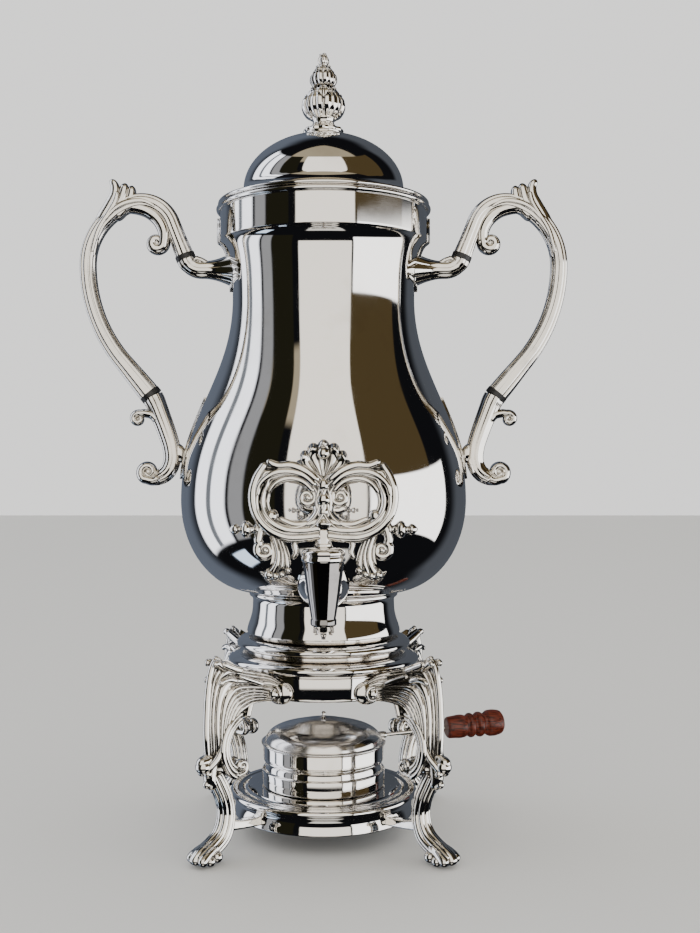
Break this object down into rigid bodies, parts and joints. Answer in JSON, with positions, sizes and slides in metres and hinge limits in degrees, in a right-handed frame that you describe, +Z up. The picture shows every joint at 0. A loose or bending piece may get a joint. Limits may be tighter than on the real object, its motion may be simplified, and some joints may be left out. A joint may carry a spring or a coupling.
{
  "type": "coffee urn",
  "caption": "Footed coffee urn with a domed lid, two insulated scroll handles, a rotary tap with a pierced key, four scroll legs and a spirit burner on a tray.",
  "frame": {"origin": "the urn's vertical axis in the plane that the four feet stand on", "axes": "+Z up, -Y towards the tap, +X towards the burner's wooden grip"},
  "size_m": [0.2842, 0.2227, 0.4512],
  "materials": {
    "silver_plate": "polished silver plate, slightly tarnished in the hollows",
    "cast_silver": "polished cast silver plate with darker recesses",
    "dark_silver": "polished, tarnished silver plate",
    "steel": "turned",
    "black_washer": "dull black insulating fibre",
    "brass": "ground",
    "wood": "turned and waxed",
    "wick": "woven cotton"
  },
  "bodies": {
    "urn": {"body_shell": "silver_plate", "rim_bead": "silver_plate", "upper_socket_left": "cast_silver", "upper_washer_left": "black_washer", "grip_left": "cast_silver", "lower_washer_left": "black_washer", "lower_socket_left": "cast_silver", "upper_socket_right": "cast_silver", "upper_washer_right": "black_washer", "grip_right": "cast_silver", "lower_washer_right": "black_washer", "lower_socket_right": "cast_silver", "handle_studs": "steel", "pedestal": "silver_plate", "stand_ring": "silver_plate", "leg_front_left": "cast_silver", "leg_front_right": "cast_silver", "leg_rear_left": "cast_silver", "leg_rear_right": "cast_silver", "leg_rivets": "silver_plate", "tray": "silver_plate", "tray_screws": "steel", "tap_socket": "silver_plate", "tap_seal": "black_washer", "tap_shank": "silver_plate", "tap_body": "dark_silver", "tap_bonnet": "silver_plate", "tap_stem_seal": "black_washer"},
    "lid": {"lid_shell": "silver_plate", "lid_bezel": "silver_plate", "finial": "cast_silver", "finial_nut": "steel"},
    "key": {"tap_plug": "brass", "tap_key": "cast_silver", "key_neck": "silver_plate"},
    "burner": {"burner_cup": "silver_plate", "burner_plate": "silver_plate", "wick": "wick"},
    "snuffer": {"snuffer_cover": "silver_plate", "snuffer_pin": "silver_plate", "snuffer_wire": "silver_plate", "wooden_grip": "wood"}
  },
  "joints": [
    {"name": "lid_lift", "type": "slide", "parent": "urn", "child": "lid", "axis": [0, 0, 1], "range_m": [0, 0.08]},
    {"name": "tap_key_turn", "type": "hinge", "parent": "urn", "child": "key", "pos_m": [0, -0.13, 0.15], "axis": [0, 0, 1], "range_deg": [0, 90]},
    {"name": "burner_draw", "type": "slide", "parent": "urn", "child": "burner", "axis": [1, 0, 0], "range_m": [0, 0.15]},
    {"name": "cover_lift", "type": "slide", "parent": "burner", "child": "snuffer", "axis": [0, 0, 1], "range_m": [0, 0.015]}
  ]
}
